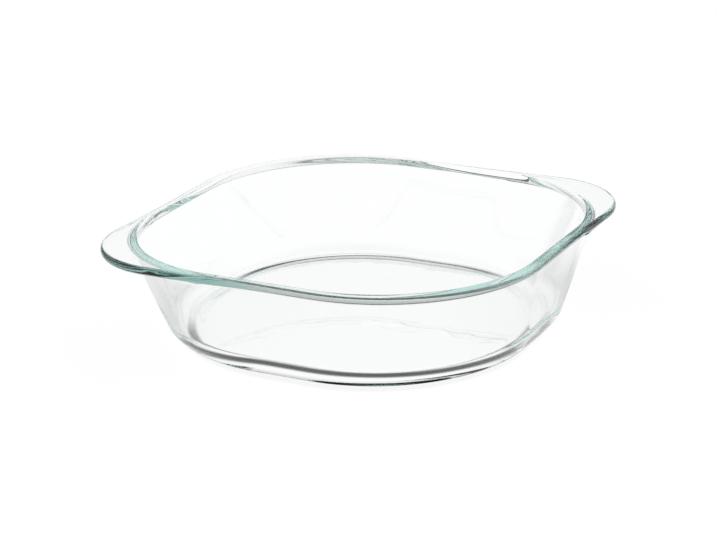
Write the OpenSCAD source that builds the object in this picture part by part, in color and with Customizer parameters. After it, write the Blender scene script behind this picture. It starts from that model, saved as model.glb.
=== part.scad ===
// Clear pressed-glass baking dish: a rounded-square bowl with leaning walls, a flat rim
// all round its mouth, and a handle wing at each of two opposite corners.
// Such a dish is pressed from one gob of glass, so it is one solid piece.
// The handles lie along X, the plain corners along Y, and the table is at Z = 0.

/* [Rim and handles] */
// Overall height, from the table to the top of the rim
dish_h = 59.5; // [45:0.5:75]
// How far the rim stands out past the wall at a side, before it is drawn in
rim_overhang = 3.2; // [2.8:0.1:6]
// How far the rim's outer edge is drawn in at the middle of each side
side_dip = 1; // [0:0.1:1.5]
// Corner radius of the outer edge at a handle
handle_corner_r = 49.5; // [35:0.5:65]
// Thickness of the rim at the plain corners
rim_t = 3.8; // [3:0.1:5]
// Thickness of the handles
handle_t = 4.9; // [3.5:0.1:6]
// How far in the rounding of the outer edge reaches
edge_r = 1.9; // [1:0.1:2.2]
// Radius of the lip between the rim's top and the inside of the wall
lip_r = 2.6; // [1:0.1:3.5]
// Radius of the hollow fillet between the wall and the underside of a handle
under_fillet_r = 3; // [1:0.1:5]

/* [Bowl] */
// Distance from the centre to the outside of a wall, just under the rim
mouth_half = 119.2; // [114:0.1:140]
// Corner radius of the wall under the rim, at a handle
mouth_handle_r = 81.5; // [70:0.5:100]
// Corner radius of the wall under the rim, at a plain corner
mouth_plain_r = 92; // [75:0.5:105]
// How far each side of the wall leans out from the table to the rim
side_flare = 10.8; // [4:0.1:13]
// Corner radius of the wall at the table, at a handle
base_handle_r = 98.5; // [80:0.5:101]
// Corner radius of the wall at the table, at a plain corner
base_plain_r = 93.5; // [75:0.5:100]
// Thickness of the wall, square to its face
wall_t = 4.8; // [3.5:0.1:6]
// Thickness of the floor inside the foot
floor_t = 4.2; // [3:0.1:8]
// Radius of the heel, where the wall turns under
heel_r = 12.5; // [3:0.5:15]
// Radius of the fillet between the floor and the inside of the wall
floor_fillet_r = 13.5; // [5:0.5:18]

/* [Foot] */
// Width of the flat ring that the dish stands on
foot_w = 1; // [0.5:0.5:12]
// Height of the hollow inside that ring
foot_h = 0.45; // [0.3:0.05:1.5]
// Width of the soft slope from the ring up into the hollow
foot_step_w = 6.5; // [3:0.5:12]

/* [Hidden] */

// Flat steps in half a corner, in a side, in the rim's edge and in each fillet
corner_steps = 9;
side_steps = 8;
edge_steps = 8;
fillet_steps = 5;

// The rim starts to thicken this share of the way out to a handle
thicken_share = 0.5;
// The fillet under the rim keeps at least this share of the room that it has
least_fillet_share = 0.05;

glass_tint = [0.80, 0.88, 0.86, 0.6];

rim_half = mouth_half + rim_overhang;
base_half = mouth_half - side_flare;
underside_z = dish_h - handle_t;
floor_z = foot_h + floor_t;

// Outlines are rounded squares with their corners on the axes, kept as
// [point, outward normal] pairs that match from one outline to the next.
function arc_pairs(centre, r, from, to) = [
    for (i = [0 : corner_steps])
        let (a = from + (to - from) * i / corner_steps, normal = [cos(a), sin(a)])
            [centre + r * normal, normal]
];

function side_pairs(start, end, dip) = [
    for (i = [1 : side_steps - 1])
        let (t = i / side_steps, normal = start[1])
            [start[0] + (end[0] - start[0]) * t - normal * dip * (1 - cos(360 * t)) / 2, normal]
];

function quarter_pairs(half, handle_r, plain_r, dip) =
    let (
        handle = arc_pairs([(half - handle_r) * sqrt(2), 0], handle_r, 0, 45),
        plain = arc_pairs([0, (half - plain_r) * sqrt(2)], plain_r, 45, 90)
    )
        concat(handle, side_pairs(handle[corner_steps], plain[0], dip), plain);

function mirrored(pairs, sx, sy) = [
    for (p = pairs) [[p[0].x * sx, p[0].y * sy], [p[1].x * sx, p[1].y * sy]]
];

function backwards(list) = [for (i = [len(list) - 1 : -1 : 0]) list[i]];
function but_last(list) = [for (i = [0 : len(list) - 2]) list[i]];

function outline(half, handle_r, plain_r, dip) =
    let (q = quarter_pairs(half, handle_r, plain_r, dip))
        concat(
            but_last(q),
            but_last(backwards(mirrored(q, -1, 1))),
            but_last(mirrored(q, -1, -1)),
            but_last(backwards(mirrored(q, 1, -1)))
        );

base_line = outline(base_half, base_handle_r, base_plain_r, 0);
mouth_line = outline(mouth_half, mouth_handle_r, mouth_plain_r, 0);
rim_line = outline(rim_half, handle_corner_r, mouth_plain_r, side_dip);
around = [0 : len(base_line) - 1];

// The outside of the wall is ruled from the base line at the table to the mouth line
// at the underside of the handles. travel is how far a point moves out between them.
function normal(j) = base_line[j][1];
function travel(j) = mouth_line[j][0] - base_line[j][0];
function lean(j) = atan(travel(j) * normal(j) / underside_z);

// A point that lies out from the wall's face at the height wall_z, drawn at height z
function off_wall(j, wall_z, out, z) =
    let (p = base_line[j][0] + travel(j) * wall_z / underside_z + out * normal(j))
        [p.x, p.y, z];

// The wall's thickness measured level, so that it is wall_t square to the leaning face
function level_wall(j) = wall_t / cos(lean(j));

function smooth(t) =
    let (c = max(0, min(1, t)))
        c * c * (3 - 2 * c);

// The rim thickens smoothly into the handles
function thickness(p) =
    let (t = (abs(p.x) / mouth_half - thicken_share) / (1 - thicken_share))
        rim_t + (handle_t - rim_t) * smooth(t);

// Rings that turn from flat at height z up to the leaning wall, on a radius r.
// inward holds how far inside the wall's outer face they lie, point by point.
function turn_rings(r, z, inward) = [
    for (i = [0 : fillet_steps]) [
        for (j = around)
            let (tip = lean(j), a = 90 - (90 - tip) * i / fillet_steps)
                off_wall(j, z + r * (1 - sin(tip)), r * (cos(a) - cos(tip)) - inward[j],
                    z + r * (1 - sin(a)))
    ]
];

// Soft slope from the hollow of the underside down to the flat ring
foot_rings = [
    for (i = [0 : fillet_steps]) [
        for (j = around)
            let (t = i / fillet_steps)
                off_wall(j, 0, -heel_r - foot_w - foot_step_w * (1 - t), foot_h * (1 - smooth(t)))
    ]
];

heel_rings = turn_rings(heel_r, 0, [for (j = around) 0]);

// Hollow fillet from the wall to the underside of the rim, as large as it has room for
function under_r(j) =
    let (room = (rim_line[j][0] - mouth_line[j][0]) * normal(j) - edge_r)
        max(room * least_fillet_share, min(under_fillet_r, room));

under_rings = [
    for (i = [0 : fillet_steps]) [
        for (j = around)
            let (
                r = under_r(j),
                tip = lean(j),
                a = 180 - tip - (90 - tip) * i / fillet_steps,
                top_z = dish_h - thickness(mouth_line[j][0])
            )
                off_wall(j, top_z - r * (1 - sin(tip)), r * (cos(a) + cos(tip)),
                    top_z - r * (1 - sin(a)))
    ]
];

// Rounded outer edge of the rim and the handles
edge_rings = [
    for (i = [0 : edge_steps]) [
        for (j = around)
            let (
                a = -90 + 180 * i / edge_steps,
                p = rim_line[j][0] - edge_r * (1 - cos(a)) * rim_line[j][1],
                half_t = thickness(p) / 2
            )
                [p.x, p.y, dish_h - half_t * (1 - sin(a))]
    ]
];

// Rounded lip from the rim's flat top down into the bowl
lip_rings = [
    for (i = [0 : fillet_steps]) [
        for (j = around)
            let (tip = lean(j), a = 90 + (90 + tip) * i / fillet_steps)
                off_wall(j, dish_h - lip_r * (1 + sin(tip)),
                    lip_r * (cos(a) + cos(tip)) - level_wall(j), dish_h - lip_r * (1 - sin(a)))
    ]
];

floor_rings = backwards(turn_rings(floor_fillet_r, floor_z, [for (j = around) level_wall(j)]));

// A closed skin over rings of equal length, with a fan to a middle point at each end
module skin(rings, first_z, last_z) {
    n = len(rings[0]);
    count = len(rings);
    middle = n * count;
    points = concat([for (r = rings) each r], [[0, 0, first_z], [0, 0, last_z]]);
    faces = [
        for (j = [0 : n - 1])
            let (k = (j + 1) % n)
                each concat(
                    [[middle, j, k], [middle + 1, middle - n + k, middle - n + j]],
                    [for (i = [0 : count - 2]) each [
                        [i * n + j, (i + 1) * n + j, (i + 1) * n + k],
                        [i * n + j, (i + 1) * n + k, i * n + k]
                    ]]
                )
    ];
    polyhedron(points, faces);
}

module dish() {
    color(glass_tint)
        skin(
            concat(foot_rings, heel_rings, under_rings, edge_rings, lip_rings, floor_rings),
            foot_h,
            floor_z
        );
}

dish();
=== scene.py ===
"""Clear pressed-glass baking dish on a white table.

The glass is one closed skin, made by a Geometry Nodes tree from the same sizes as the
solid model. Its bands run all the way round the dish, one after the other: from the middle
of the underside, out to the heel, up the wall, round the rim, and down to the floor inside.
"""

import math

import bpy
from mathutils import Matrix, Vector


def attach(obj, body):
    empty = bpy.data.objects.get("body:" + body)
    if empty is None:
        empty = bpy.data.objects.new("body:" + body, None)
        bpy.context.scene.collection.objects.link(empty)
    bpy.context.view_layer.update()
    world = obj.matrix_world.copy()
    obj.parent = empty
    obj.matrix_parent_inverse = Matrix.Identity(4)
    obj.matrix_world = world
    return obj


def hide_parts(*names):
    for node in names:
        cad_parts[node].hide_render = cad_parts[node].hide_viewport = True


MM = 0.001

# Sizes of the dish, in millimetres
DISH_SIZES = {
    "dish height": 59.5,
    "rim overhang": 3.2,
    "side dip": 1.0,
    "handle corner radius": 49.5,
    "rim thickness": 3.8,
    "handle thickness": 4.9,
    "edge reach": 1.9,
    "lip radius": 2.6,
    "under fillet radius": 3.0,
    "mouth half width": 119.2,
    "mouth handle radius": 81.5,
    "mouth plain radius": 92.0,
    "side flare": 10.8,
    "base handle radius": 98.5,
    "base plain radius": 93.5,
    "wall thickness": 4.8,
    "floor thickness": 4.2,
    "heel radius": 12.5,
    "floor fillet radius": 13.5,
    "foot width": 1.0,
    "foot height": 0.45,
    "foot step width": 6.5,
}
THICKEN_SHARE = 0.5  # of the way out to a handle, where the rim starts to thicken
LEAST_FILLET_SHARE = 0.05  # of its room, which the fillet under the rim always keeps
SUPPORT_GAP = 0.4 * MM  # from each end of a flat stretch to the ring that keeps it flat
MOST_GAP_SHARE = 0.25  # of a flat stretch, which that gap never passes
WELD = 0.002 * MM  # how close the rings of neighbouring bands lie

# Steps of the skin
CORNER_STEPS = 40  # in half a corner
SIDE_STEPS = 24  # along a side
FLAT_STEPS = 3  # across a flat stretch
ROUND_STEPS = 14  # across a fillet
EDGE_STEPS = 24  # across the rim's rounded edge

# Glass
GLASS_IOR = 1.5
GLASS_TINT = (0.40, 0.80, 0.74)
GLASS_DENSITY = 3.0
# The slight waves of pressed glass
WAVE_LENGTH = 16.0 * MM
WAVE_HEIGHT = 0.05 * MM
WAVE_DETAIL = 1.0
# Painted shade on the rim's rounded outer edges, away from the handles and at them: a darker base
# colour of the glass there, deep green at the handles
EDGE_SHADE_PLAIN = (0.50, 0.53, 0.51)
EDGE_SHADE_HANDLE = (0.21, 0.46, 0.42)
EDGE_DROP = 4.2 * MM  # how far down from the rim's top they reach
EDGE_DROP_SOFT = 1.0 * MM  # how softly they end there
EDGE_UP = (0.85, 0.45)  # upward part of the normal where the painted shade starts, and where it is full
EDGE_TURN = (70.0 * MM, 120.0 * MM)  # along X, where the plain painted shade turns into the handles'

# Table
TABLE_SIZE = 40.0
TABLE_DROP = 0.2 * MM
TABLE_COLOUR = (0.8, 0.8, 0.8)
WHITE = (1.0, 1.0, 1.0)

# Shadows on the table. No lamp casts them: its material draws them, as if from a lamp behind
# the dish. A pair of lengths says where a ramp starts and where it is full.
LIGHT_TURN = -18.15  # where they fall, from -Y towards +X, in degrees
SHADOW_SEEN = 0.08  # share of them that shows beside the glass
HEEL_SHIFT = 5.4 * MM  # how far the heel's shadow falls away from the lamp
HEEL_MIDDLE = -9.6 * MM  # of that shadow, out from the base line
HEEL_NEAR = (0.0, 35.0 * MM)  # from the middle towards the camera, where its near part starts
HEEL_FAR = (45.0 * MM, 80.0 * MM)  # and from the middle away from it, where its far part does
HEEL_HALF_NEAR, HEEL_HALF_FAR = 5.7 * MM, 4.0 * MM  # half the width of each
HEEL_SOFT_NEAR, HEEL_SOFT_FAR = 3.8 * MM, 2.2 * MM  # how soft their edges are
HEEL_DEPTH_NEAR, HEEL_DEPTH_BESIDE, HEEL_DEPTH_FAR = 0.94, 0.08, 0.95
WALL_DEPTH = 0.18  # of the shade next to the walls at the left and the right
WALL_WIDTH = 12.0 * MM  # out from the base line, where it is full
WALL_ASIDE = (55.0 * MM, 105.0 * MM)  # from the middle to either side, where it starts
WING_DEPTH = 0.12  # of the shadow under a handle
WING_INNER = (112.0 * MM, 126.0 * MM)  # along X, where it starts
WING_OUTER = (160.0 * MM, 190.0 * MM)  # along X, where it ends
WING_SIDE = (20.0 * MM, 70.0 * MM)  # along Y, where it ends

# Studio. Heights and turns are in degrees, and a pair says where a ramp starts and is full.
STUDIO_LEVEL = 0.96
CEILING_LEVEL = 0.3
CEILING_HEIGHT = (50.0, 80.0)
LAMP_SIDE = (50.0, 65.0)  # how far the lamp reaches to each side of straight behind the dish
CLOTH_LEVEL = 0.9  # of the lamp's cloth
CLOTH_TOP = (30.0, 50.0)
GAP_LEVEL = 0.1  # of the dark gap between the table and the lamp
GAP_TOP = (10.0, 13.0)
LIGHT_BOUNCES = 40

# Camera
CAMERA_TURN, CAMERA_HEIGHT, CAMERA_ROLL = -18.15, 20.55, -0.99
CAMERA_DISTANCE = 1.3688
CAMERA_REACH = 100.0
PHOTO_WIDTH = 716
FOCAL_PIXELS = 2357.5
AIM_RIGHT, AIM_DOWN = 7.37, 47.09  # from the picture's middle to the origin, in pixels
SENSOR = 36.0


def feed(socket, value):
    """Sets an input, or links it where the value is a field."""
    if isinstance(value, Field):
        socket.id_data.links.new(value.socket, socket)
    else:
        socket.default_value = value


class Field:
    """A number or a vector in a node tree. Arithmetic on it adds the nodes that do it."""

    def __init__(self, socket):
        self.socket = socket
        self.tree = socket.id_data
        self.is_vector = socket.type == "VECTOR"

    def worked(self, operation, *others):
        """The result of one Math or Vector Math node."""
        kind = "ShaderNodeVectorMath" if self.is_vector else "ShaderNodeMath"
        node = self.tree.nodes.new(kind)
        node.operation = operation
        inputs = [node.inputs[0], node.inputs["Scale"] if operation == "SCALE" else node.inputs[1]]
        for socket, value in zip(inputs, (self, *others)):
            feed(socket, value)
        return Field(next(socket for socket in node.outputs if socket.enabled))

    def __add__(self, other):
        return self.worked("ADD", other)

    __radd__ = __add__

    def __sub__(self, other):
        return self.worked("SUBTRACT", other)

    def __rsub__(self, other):
        return self * -1 + other

    def __mul__(self, other):
        if not self.is_vector:
            return self.worked("MULTIPLY", other)
        each = isinstance(other, Field) and other.is_vector
        return self.worked("MULTIPLY" if each else "SCALE", other)

    __rmul__ = __mul__

    def __truediv__(self, other):
        return self.worked("DIVIDE", other)

    def __rtruediv__(self, other):
        return self.worked("POWER", -1) * other

    def dot(self, other):
        return self.worked("DOT_PRODUCT", other)

    def sin(self):
        return self.worked("SINE")

    def cos(self):
        return self.worked("COSINE")

    def clamped(self):
        return self.worked("MAXIMUM", 0).worked("MINIMUM", 1)

    def smooth(self):
        c = self.clamped()
        return c * c * (3 - 2 * c)


def mix(a, b, share):
    return a + (b - a) * share


def ramp(field, start, full):
    """Rises softly from 0 at start to 1 at full."""
    return ((field - start) / (full - start)).smooth()


def vector(tree, x=0, y=0, z=0):
    node = tree.nodes.new("ShaderNodeCombineXYZ")
    for socket, value in zip(node.inputs, (x, y, z)):
        feed(socket, value)
    return Field(node.outputs[0])


def parts_of(field):
    node = field.tree.nodes.new("ShaderNodeSeparateXYZ")
    feed(node.inputs[0], field)
    return [Field(socket) for socket in node.outputs]


def direction(turn, height):
    """The direction at a turn from -Y towards +X and a height above the table, in degrees."""
    turn, height = math.radians(turn), math.radians(height)
    level = math.cos(height)
    return Vector((math.sin(turn) * level, -math.cos(turn) * level, math.sin(height)))


class DishTree:
    """The node tree of the dish. Angles are in radians and lengths in metres."""

    QUARTER_STEPS = 2 * CORNER_STEPS + SIDE_STEPS
    ROUND = 4 * QUARTER_STEPS

    def __init__(self, material):
        self.tree = bpy.data.node_groups.new("pressed dish", "GeometryNodeTree")
        self.size = self.size_inputs()
        self.place_on_sheet()
        self.outlines()
        bands = [self.band(rows, place) for rows, place in self.profile()]
        self.finish(bands, material)

    def add(self, kind, **inputs):
        node = self.tree.nodes.new(kind)
        for name, value in inputs.items():
            feed(node.inputs[name.replace("_", " ")], value)
        return node

    def size_inputs(self):
        face = self.tree.interface
        for name in DISH_SIZES:
            item = face.new_socket(name, in_out="INPUT", socket_type="NodeSocketFloat")
            item.subtype = "DISTANCE"
        face.new_socket("dish", in_out="OUTPUT", socket_type="NodeSocketGeometry")
        node = self.tree.nodes.new("NodeGroupInput")
        return {name: Field(node.outputs[name]) for name in DISH_SIZES}

    def place_on_sheet(self):
        """Each band starts as a sheet, one unit wide and high. Its width goes round the dish."""
        position = Field(self.tree.nodes.new("GeometryNodeInputPosition").outputs[0])
        x, y, _ = parts_of(position)
        self.across = y + 0.5
        step = ((x + 0.5) * self.ROUND).worked("ROUND").worked("FLOORED_MODULO", self.ROUND)
        quarter = (step / self.QUARTER_STEPS).worked("FLOOR")
        within = step - quarter * self.QUARTER_STEPS
        odd = quarter.worked("FLOORED_MODULO", 2)
        self.step = mix(within, self.QUARTER_STEPS - within, odd)
        # The quarters run from 0 to 3, so 1 and 2 lie towards -X, and 2 and 3 towards -Y
        minus_x = (quarter - 1.5).worked("ABSOLUTE").worked("LESS_THAN", 1)
        minus_y = quarter.worked("GREATER_THAN", 1.5)
        self.mirror = vector(self.tree, 1 - minus_x * 2, 1 - minus_y * 2, 1)

    def outlines(self):
        """Rounded squares with their corners on the axes, which match point by point."""
        s = self.size
        along = self.step - CORNER_STEPS
        self.side = (along / SIDE_STEPS).clamped()
        corners = (self.step / CORNER_STEPS, (along - SIDE_STEPS) / CORNER_STEPS)
        angle = (corners[0].clamped() + corners[1].clamped()) * math.radians(45)
        self.normal = vector(self.tree, angle.cos(), angle.sin())
        half, plain = s["mouth half width"], s["mouth plain radius"]
        base_half, rim_half = half - s["side flare"], half + s["rim overhang"]
        self.base = self.outline(base_half, s["base handle radius"], s["base plain radius"])
        self.mouth = self.outline(half, s["mouth handle radius"], plain)
        bow = (1 - (self.side * (2 * math.pi)).cos()) / 2
        rim = self.outline(rim_half, s["handle corner radius"], plain)
        self.rim = rim - self.normal * (s["side dip"] * bow)
        self.underside = s["dish height"] - s["handle thickness"]
        self.travel = self.mouth - self.base
        self.tip = (self.travel.dot(self.normal) / self.underside).worked("ARCTANGENT")
        self.tip_sin, self.tip_cos = self.tip.sin(), self.tip.cos()
        self.level_wall = s["wall thickness"] / self.tip_cos
        self.inside_floor = s["foot height"] + s["floor thickness"]

    def outline(self, half, handle_radius, plain_radius):
        handle = vector(self.tree, (half - handle_radius) * math.sqrt(2))
        plain = vector(self.tree, 0, (half - plain_radius) * math.sqrt(2))
        radius = mix(handle_radius, plain_radius, self.side)
        return mix(handle, plain, self.side) + self.normal * radius

    def raised(self, plan, height):
        return plan + vector(self.tree, 0, 0, height)

    def off_wall(self, wall_height, out, height):
        """A point out from the wall's face at wall_height, drawn at height."""
        plan = self.base + self.travel * (wall_height / self.underside) + self.normal * out
        return self.raised(plan, height)

    def thickness(self, plan):
        x = parts_of(plan)[0]
        out = (x / self.size["mouth half width"] - THICKEN_SHARE) / (1 - THICKEN_SHARE)
        return mix(self.size["rim thickness"], self.size["handle thickness"], out.smooth())

    def foot_step(self, t):
        s = self.size
        out = (s["heel radius"] + s["foot width"] + s["foot step width"] * (1 - t)) * -1
        return self.raised(self.base + self.normal * out, s["foot height"] * (1 - t.smooth()))

    def turn(self, t, radius, height, inward):
        """From flat at the height, t = 0, up to the leaning wall, t = 1."""
        angle = (self.tip - math.radians(90)) * t + math.radians(90)
        return self.off_wall(
            height + radius * (1 - self.tip_sin),
            radius * (angle.cos() - self.tip_cos) - inward,
            height + radius * (1 - angle.sin()),
        )

    def heel(self, t):
        return self.turn(t, self.size["heel radius"], 0, 0)

    def floor_fillet(self, t):
        radius = self.size["floor fillet radius"]
        return self.turn(1 - t, radius, self.inside_floor, self.level_wall)

    def under_fillet(self, t):
        s = self.size
        room = (self.rim - self.mouth).dot(self.normal) - s["edge reach"]
        radius = room.worked("MINIMUM", s["under fillet radius"])
        radius = radius.worked("MAXIMUM", room * LEAST_FILLET_SHARE)
        angle = math.pi - self.tip - (math.radians(90) - self.tip) * t
        top = s["dish height"] - self.thickness(self.mouth)
        return self.off_wall(
            top - radius * (1 - self.tip_sin),
            radius * (angle.cos() + self.tip_cos),
            top - radius * (1 - angle.sin()),
        )

    def edge(self, t):
        angle = t * math.pi - math.radians(90)
        plan = self.rim - self.normal * (self.size["edge reach"] * (1 - angle.cos()))
        half = self.thickness(plan) / 2
        return self.raised(plan, self.size["dish height"] - half * (1 - angle.sin()))

    def lip(self, t):
        s = self.size
        radius, top = s["lip radius"], s["dish height"]
        angle = math.radians(90) + (math.radians(90) + self.tip) * t
        return self.off_wall(
            top - radius * (1 + self.tip_sin),
            radius * (angle.cos() + self.tip_cos) - self.level_wall,
            top - radius * (1 - angle.sin()),
        )

    def profile(self):
        """The bands in order, each as its number of steps and where its sheet goes."""
        t = self.across
        zero, one = t * 0, t * 0 + 1
        middle = self.raised(self.base * 0, self.size["foot height"])
        centre = self.raised(self.base * 0, self.inside_floor)
        turns = [
            (ROUND_STEPS, self.foot_step),
            (ROUND_STEPS, self.heel),
            (ROUND_STEPS, self.under_fillet),
            (EDGE_STEPS, self.edge),
            (ROUND_STEPS, self.lip),
            (ROUND_STEPS, self.floor_fillet),
        ]
        bands, last = [], middle
        for rows, turned in turns:
            bands += [(FLAT_STEPS, self.flat(last, turned(zero))), (rows, turned(t))]
            last = turned(one)
        return bands + [(FLAT_STEPS, self.flat(last, centre))]

    def flat(self, start, end):
        """The steps between two rings, of which the outer two are a support gap wide."""
        length = (end - start).worked("LENGTH") + WELD
        gap = (SUPPORT_GAP / length).worked("MINIMUM", MOST_GAP_SHARE)
        second_half = self.across.worked("GREATER_THAN", 0.5)
        share = self.across * gap * FLAT_STEPS + second_half * (1 - gap * FLAT_STEPS)
        return mix(start, end, share)

    def band(self, rows, place):
        sheet = self.add(
            "GeometryNodeMeshGrid",
            Size_X=1,
            Size_Y=1,
            Vertices_X=self.ROUND + 1,
            Vertices_Y=rows + 1,
        )
        put = self.add("GeometryNodeSetPosition", Position=place * self.mirror)
        self.tree.links.new(sheet.outputs["Mesh"], put.inputs["Geometry"])
        return put.outputs["Geometry"]

    def finish(self, bands, material):
        join = self.tree.nodes.new("GeometryNodeJoinGeometry")
        for socket in reversed(bands):
            self.tree.links.new(socket, join.inputs[0])
        weld = self.add("GeometryNodeMergeByDistance", Distance=WELD)
        smooth = self.add("GeometryNodeSetShadeSmooth")
        real = self.add("GeometryNodeRealizeInstances")
        paint = self.add("GeometryNodeSetMaterial", Material=material)
        last = join.outputs[0]
        for node in (weld, smooth, real, paint):
            self.tree.links.new(last, node.inputs[0])
            last = node.outputs[0]
        self.tree.links.new(last, self.tree.nodes.new("NodeGroupOutput").inputs[0])


def shader(name):
    material = bpy.data.materials.new(name)
    material.use_nodes = True
    return material, material.node_tree


def own_place(tree):
    """Where the shaded point lies, from its object's origin."""
    return Field(tree.nodes.new("ShaderNodeTexCoord").outputs["Object"])


def rim_painted_shade(tree):
    """White, but with painted shade on the rim's rounded outer edges: darker there, and deep green
    at the handles.
    """
    place = own_place(tree)
    facing = Field(tree.nodes.new("ShaderNodeNewGeometry").outputs["Normal"])
    x, _, z = parts_of(place)
    up = parts_of(facing)[2].worked("ABSOLUTE")
    bottom = DISH_SIZES["dish height"] * MM - EDGE_DROP
    high = ramp(z, bottom - EDGE_DROP_SOFT, bottom)
    outward = facing.dot(place).worked("GREATER_THAN", 0)
    at_handle = ramp(x.worked("ABSOLUTE"), *EDGE_TURN)
    # painted shade: darker on the rim's outer edges, deep green at the handles
    edge = mix(vector(tree, *EDGE_SHADE_PLAIN), vector(tree, *EDGE_SHADE_HANDLE), at_handle)
    return mix(vector(tree, *WHITE), edge, high * ramp(up, *EDGE_UP) * outward)


def clear_glass():
    """Clear glass with a green body, painted shade on its rim edges and slight waves in its
    surface.
    """
    material, tree = shader("clear pressed glass")
    surface = tree.nodes["Principled BSDF"]
    # the base colour carries painted shade on the rim's outer edges
    feed(surface.inputs["Base Color"], rim_painted_shade(tree))
    feed(surface.inputs["Transmission Weight"], 1)
    feed(surface.inputs["Roughness"], 0)
    feed(surface.inputs["IOR"], GLASS_IOR)
    wave = tree.nodes.new("ShaderNodeTexNoise")
    feed(wave.inputs["Vector"], own_place(tree))
    feed(wave.inputs["Scale"], 1 / WAVE_LENGTH)
    feed(wave.inputs["Detail"], WAVE_DETAIL)
    bump = tree.nodes.new("ShaderNodeBump")
    feed(bump.inputs["Distance"], WAVE_HEIGHT)
    tree.links.new(wave.outputs[0], bump.inputs["Height"])
    tree.links.new(bump.outputs["Normal"], surface.inputs["Normal"])
    body = tree.nodes.new("ShaderNodeVolumeAbsorption")
    feed(body.inputs["Color"], (*GLASS_TINT, 1))
    feed(body.inputs["Density"], GLASS_DENSITY)
    tree.links.new(body.outputs["Volume"], tree.nodes["Material Output"].inputs["Volume"])
    return material


def pressed_dish():
    """The whole dish, as a plain mesh from its node tree."""
    tree = DishTree(clear_glass()).tree
    piece = bpy.data.objects.new("pressed_dish", bpy.data.meshes.new("blank"))
    bpy.context.scene.collection.objects.link(piece)
    nodes = piece.modifiers.new(tree.name, "NODES")
    nodes.node_group = tree
    for item in tree.interface.items_tree:
        if item.in_out == "INPUT":
            nodes[item.identifier] = DISH_SIZES[item.name] * MM
    graph = bpy.context.evaluated_depsgraph_get()
    mesh = bpy.data.meshes.new_from_object(piece.evaluated_get(graph))
    piece.modifiers.clear()
    piece.data = mesh
    return piece


def beyond_base(place):
    """How far out from the dish's base line a point of the table lies, negative under the dish."""
    x, y, _ = (part.worked("ABSOLUTE") for part in parts_of(place))
    half = (DISH_SIZES["mouth half width"] - DISH_SIZES["side flare"]) * MM
    handle, plain = (DISH_SIZES[f"base {name} radius"] * MM for name in ("handle", "plain"))
    radius = mix(plain, handle, x.worked("GREATER_THAN", y))
    along, across = (x + y) * math.sqrt(0.5), (x - y).worked("ABSOLUTE") * math.sqrt(0.5)
    past = [distance - half + radius for distance in (along, across)]
    a, b = (distance.worked("MAXIMUM", 0) for distance in past)
    return (a * a + b * b).worked("SQRT") + past[0].worked("MINIMUM", 0) - radius


def heel_shadow(place, near, far):
    """How dark the ring under the heel is. It is faint at the left and the right."""
    between = (1 - near) * (1 - far)
    depth = near * HEEL_DEPTH_NEAR + far * HEEL_DEPTH_FAR + between * HEEL_DEPTH_BESIDE
    out = beyond_base(place - direction(LIGHT_TURN, 0) * HEEL_SHIFT)
    off = (out - HEEL_MIDDLE).worked("ABSOLUTE") - mix(HEEL_HALF_FAR, HEEL_HALF_NEAR, near)
    return (off * -1 / mix(HEEL_SOFT_FAR, HEEL_SOFT_NEAR, near)).smooth() * depth


def wing_shadow(place):
    """How dark the table is under the handles."""
    x, y, _ = (part.worked("ABSOLUTE") for part in parts_of(place))
    under = ramp(x, *WING_INNER) * (1 - ramp(x, *WING_OUTER)) * (1 - ramp(y, *WING_SIDE))
    return under * WING_DEPTH


def wall_shade(place, far):
    """How dark the table is beside the walls, except behind the dish."""
    aside = place.dot(direction(LIGHT_TURN + 90, 0)).worked("ABSOLUTE")
    beside = ramp(beyond_base(place), 0, WALL_WIDTH) * ramp(aside, *WALL_ASIDE)
    return beside * (1 - far) * WALL_DEPTH


def table_light(tree, camera_ray):
    """White with faint shadows where the camera sees the table, and with all of them in glass."""
    place = own_place(tree)
    nearer = place.dot(direction(LIGHT_TURN, 0))
    near, far = ramp(nearer, *HEEL_NEAR), ramp(nearer * -1, *HEEL_FAR)
    shadowed = (1 - heel_shadow(place, near, far)) * (1 - wing_shadow(place))
    in_glass = shadowed * (1 - wall_shade(place, far))
    return mix(in_glass, mix(1, shadowed, SHADOW_SEEN), camera_ray)


def white_table():
    """A table that looks white, also through the glass, and still takes light as a pale one."""
    half = TABLE_SIZE / 2
    mesh = bpy.data.meshes.new("table")
    corners = [(-half, -half), (half, -half), (half, half), (-half, half)]
    mesh.from_pydata([(x, y, -TABLE_DROP) for x, y in corners], [], [(0, 1, 2, 3)])
    table = bpy.data.objects.new("table", mesh)
    bpy.context.scene.collection.objects.link(table)
    material, tree = shader("white table")
    tree.nodes.remove(tree.nodes["Principled BSDF"])
    path = tree.nodes.new("ShaderNodeLightPath")
    rays = ("Is Camera Ray", "Is Glossy Ray", "Is Transmission Ray")
    camera_ray, glossy_ray, glass_ray = (Field(path.outputs[ray]) for ray in rays)
    seen = camera_ray.worked("MAXIMUM", glossy_ray).worked("MAXIMUM", glass_ray)
    pale = tree.nodes.new("ShaderNodeBsdfDiffuse")
    feed(pale.inputs["Color"], (*TABLE_COLOUR, 1))
    white = tree.nodes.new("ShaderNodeEmission")
    feed(white.inputs["Color"], (*WHITE, 1))
    feed(white.inputs["Strength"], table_light(tree, camera_ray))
    either = tree.nodes.new("ShaderNodeMixShader")
    feed(either.inputs[0], seen)
    tree.links.new(pale.outputs[0], either.inputs[1])
    tree.links.new(white.outputs[0], either.inputs[2])
    tree.links.new(either.outputs[0], tree.nodes["Material Output"].inputs["Surface"])
    mesh.materials.append(material)
    return table


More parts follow.
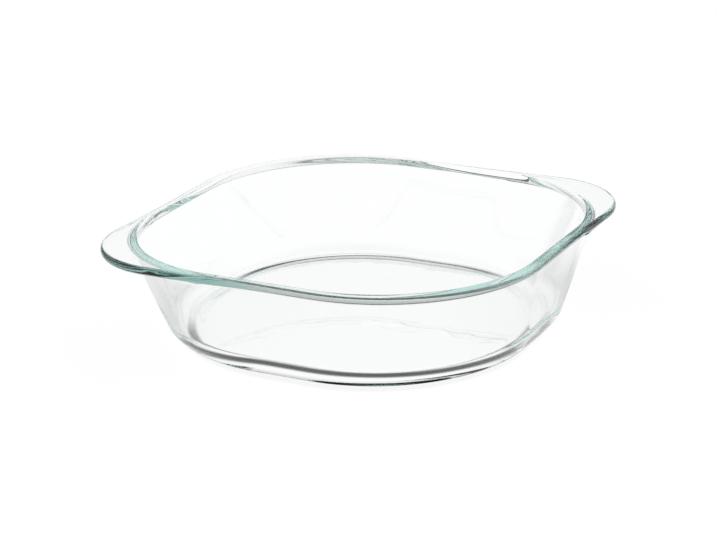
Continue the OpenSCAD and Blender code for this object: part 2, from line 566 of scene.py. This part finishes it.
def studio():
    """White all round, but for a dim ceiling, and a cloth with a dark gap under it behind."""
    world = bpy.data.worlds.new("studio")
    bpy.context.scene.world = world
    world.use_nodes = True
    tree = world.node_tree
    looking = Field(tree.nodes.new("ShaderNodeTexCoord").outputs["Generated"])
    height = parts_of(looking)[2].worked("ARCSINE") * math.degrees(1)
    aside = looking.dot(direction(LIGHT_TURN, 0) * -1).worked("ARCCOSINE") * math.degrees(1)
    behind = 1 - ramp(aside, *LAMP_SIDE)
    ceiling = ramp(height, *CEILING_HEIGHT) * (1 - CEILING_LEVEL)
    cloth = (1 - ramp(height, *CLOTH_TOP)) * behind * (1 - CLOTH_LEVEL)
    gap = (1 - ramp(height, *GAP_TOP)) * behind * (1 - GAP_LEVEL)
    level = (1 - ceiling) * (1 - cloth) * (1 - gap) * STUDIO_LEVEL
    camera_ray = Field(tree.nodes.new("ShaderNodeLightPath").outputs["Is Camera Ray"])
    light = tree.nodes["Background"]
    feed(light.inputs["Color"], (*WHITE, 1))
    feed(light.inputs["Strength"], level.worked("MAXIMUM", camera_ray))


def camera():
    """The photograph's view: from its turn and height, aimed so that the dish sits as in it."""
    back = direction(CAMERA_TURN, CAMERA_HEIGHT)
    turn, roll = math.radians(CAMERA_TURN), math.radians(CAMERA_ROLL)
    right = Vector((math.cos(turn), math.sin(turn), 0))
    up = back.cross(right)
    right, up = (
        right * math.cos(roll) + up * math.sin(roll),
        up * math.cos(roll) - right * math.sin(roll),
    )
    place = back * CAMERA_DISTANCE
    aim = (up * AIM_DOWN - right * AIM_RIGHT) * CAMERA_DISTANCE / FOCAL_PIXELS
    back = (place - aim).normalized()
    right = (right - back * right.dot(back)).normalized()
    turned = Matrix((right, back.cross(right), back)).transposed().to_4x4()
    data = bpy.data.cameras.new("camera")
    data.sensor_width = SENSOR
    data.lens = SENSOR * FOCAL_PIXELS / PHOTO_WIDTH
    data.clip_end = CAMERA_REACH
    eye = bpy.data.objects.new("camera", data)
    eye.matrix_world = Matrix.Translation(place) @ turned
    bpy.context.scene.collection.objects.link(eye)
    bpy.context.scene.camera = eye


def set_view_and_bounces():
    """Light bounces many times inside the walls before it leaves the glass."""
    scene = bpy.context.scene
    scene.view_settings.view_transform = "Standard"
    for limit in ("max_bounces", "glossy_bounces", "transmission_bounces"):
        setattr(scene.cycles, limit, LIGHT_BOUNCES)


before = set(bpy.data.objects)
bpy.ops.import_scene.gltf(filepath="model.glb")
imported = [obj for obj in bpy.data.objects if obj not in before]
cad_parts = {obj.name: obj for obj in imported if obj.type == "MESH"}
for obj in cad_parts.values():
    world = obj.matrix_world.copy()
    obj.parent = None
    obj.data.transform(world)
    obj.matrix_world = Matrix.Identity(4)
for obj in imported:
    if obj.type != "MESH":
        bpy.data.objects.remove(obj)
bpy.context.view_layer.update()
camera()
set_view_and_bounces()
studio()
white_table()
dish = pressed_dish()
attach(dish, "root")
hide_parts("dish")
